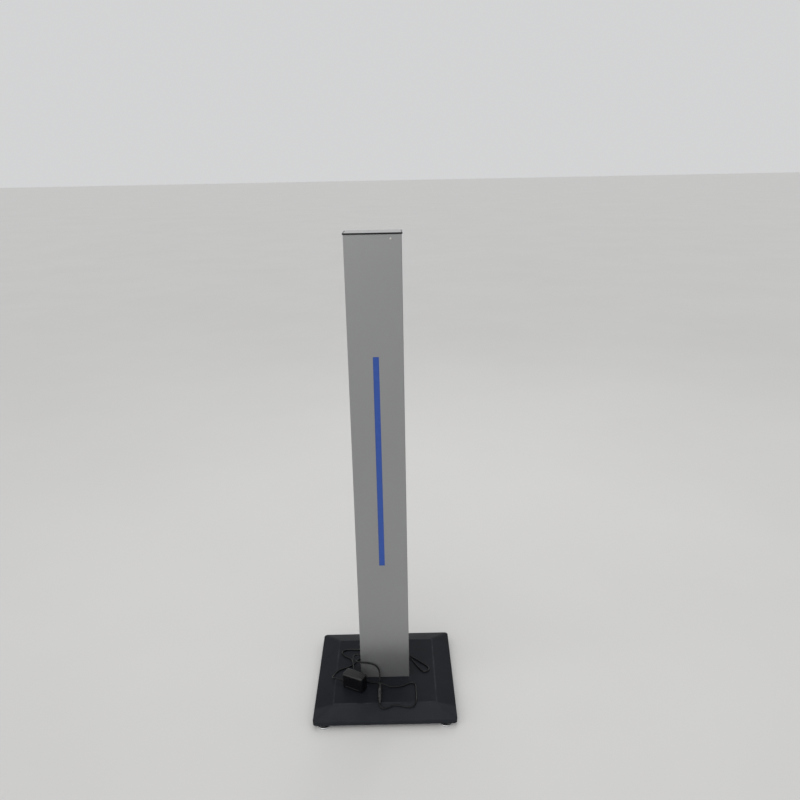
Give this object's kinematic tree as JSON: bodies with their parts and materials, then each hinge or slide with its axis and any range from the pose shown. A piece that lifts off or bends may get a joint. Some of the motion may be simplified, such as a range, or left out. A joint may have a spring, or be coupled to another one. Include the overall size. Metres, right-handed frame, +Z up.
{
  "type": "touchscreen kiosk",
  "caption": "Slim grey column kiosk with a blue light strip, a black touch glass on top, a weighted square black base on levelling feet, a rear service door and a plug-in power adapter",
  "frame": {"origin": "on the floor under the centre of the square base, where the levelling pads rest", "axes": "+Z up; -Y is the front, the side with the blue light strip; +X is to the right when facing the front"},
  "size_m": [0.4, 0.403, 1.3201],
  "materials": {
    "grey_paint": "satin",
    "black_paint": "satin",
    "zinc_plated": "satin",
    "dark_steel": "matte",
    "chrome": "polished",
    "nickel": "polished",
    "black_rubber": "satin",
    "black_plastic": "satin",
    "touch_glass": "gloss",
    "blue_lens": "satin, diffusing",
    "aluminium": "satin",
    "circuit_board": "satin",
    "white_nylon": "satin"
  },
  "bodies": {
    "stand": {"adapter_circuit": "circuit_board", "adapter_front_case": "black_plastic", "adapter_lead": "black_rubber", "adapter_pins": "nickel", "adapter_rear_case": "black_plastic", "adapter_strain_relief": "black_rubber", "ballast_plate": "dark_steel", "base_cover": "black_paint", "bezel_screw_front": "nickel", "bezel_screw_rear": "nickel", "bottom_plate": "zinc_plated", "cable_grommet": "black_rubber", "column_bolt_1": "zinc_plated", "column_bolt_2": "zinc_plated", "column_bolt_3": "zinc_plated", "column_bolt_4": "zinc_plated", "column_foot_plate": "zinc_plated", "column_shell": "grey_paint", "controller_board": "circuit_board", "dc_plug": "black_rubber", "dc_socket": "black_rubber", "display_board": "circuit_board", "display_loom": "black_rubber", "display_panel": "black_plastic", "equipment_plate": "zinc_plated", "glass_tape": "black_rubber", "hinge_frame_leaf_lower": "nickel", "hinge_frame_leaf_upper": "nickel", "hinge_pin_lower": "nickel", "hinge_pin_upper": "nickel", "light_board": "circuit_board", "light_channel": "aluminium", "light_driver": "black_plastic", "light_lead": "black_rubber", "light_lens": "blue_lens", "light_strap_lower": "zinc_plated", "light_strap_upper": "zinc_plated", "loom_clip_lower": "white_nylon", "loom_clip_upper": "white_nylon", "pigtail": "black_rubber", "supply_lead": "black_rubber", "terminal_block": "white_nylon", "top_bezel": "black_plastic", "touch_glass": "touch_glass"},
    "door": {"service_door": "grey_paint", "hinge_door_leaf_lower": "nickel", "hinge_door_leaf_upper": "nickel", "lock_body": "chrome", "lock_nut": "zinc_plated"},
    "lock": {"lock_barrel": "chrome", "lock_cam": "zinc_plated"},
    "stud_front_left": {"foot_stud_front_left": "zinc_plated"},
    "pad_front_left": {"foot_pad_front_left": "chrome"},
    "stud_front_right": {"foot_stud_front_right": "zinc_plated"},
    "pad_front_right": {"foot_pad_front_right": "chrome"},
    "stud_rear_left": {"foot_stud_rear_left": "zinc_plated"},
    "pad_rear_left": {"foot_pad_rear_left": "chrome"},
    "stud_rear_right": {"foot_stud_rear_right": "zinc_plated"},
    "pad_rear_right": {"foot_pad_rear_right": "chrome"}
  },
  "joints": [
    {"name": "door_hinge", "type": "hinge", "parent": "stand", "child": "door", "pos_m": [-0.06, 0.0388, 0.65], "axis": [0, 0, 1], "range_deg": [0, 110]},
    {"name": "cam_lock_turn", "type": "hinge", "parent": "door", "child": "lock", "pos_m": [0.036, 0.034, 0.65], "axis": [0, -1, 0], "range_deg": [0, 90]},
    {"name": "foot_height_front_left", "type": "slide", "parent": "stand", "child": "stud_front_left", "axis": [0, 0, 1], "range_m": [-0.006, 0.003]},
    {"name": "pad_swivel_front_left", "type": "hinge", "parent": "stud_front_left", "child": "pad_front_left", "pos_m": [-0.17, -0.1825, 0], "axis": [0, 0, 1], "continuous": true},
    {"name": "foot_height_front_right", "type": "slide", "parent": "stand", "child": "stud_front_right", "axis": [0, 0, 1], "range_m": [-0.006, 0.003]},
    {"name": "pad_swivel_front_right", "type": "hinge", "parent": "stud_front_right", "child": "pad_front_right", "pos_m": [0.17, -0.1825, 0], "axis": [0, 0, 1], "continuous": true},
    {"name": "foot_height_rear_left", "type": "slide", "parent": "stand", "child": "stud_rear_left", "axis": [0, 0, 1], "range_m": [-0.006, 0.003]},
    {"name": "pad_swivel_rear_left", "type": "hinge", "parent": "stud_rear_left", "child": "pad_rear_left", "pos_m": [-0.17, 0.1825, 0], "axis": [0, 0, 1], "continuous": true},
    {"name": "foot_height_rear_right", "type": "slide", "parent": "stand", "child": "stud_rear_right", "axis": [0, 0, 1], "range_m": [-0.006, 0.003]},
    {"name": "pad_swivel_rear_right", "type": "hinge", "parent": "stud_rear_right", "child": "pad_rear_right", "pos_m": [0.17, 0.1825, 0], "axis": [0, 0, 1], "continuous": true}
  ]
}
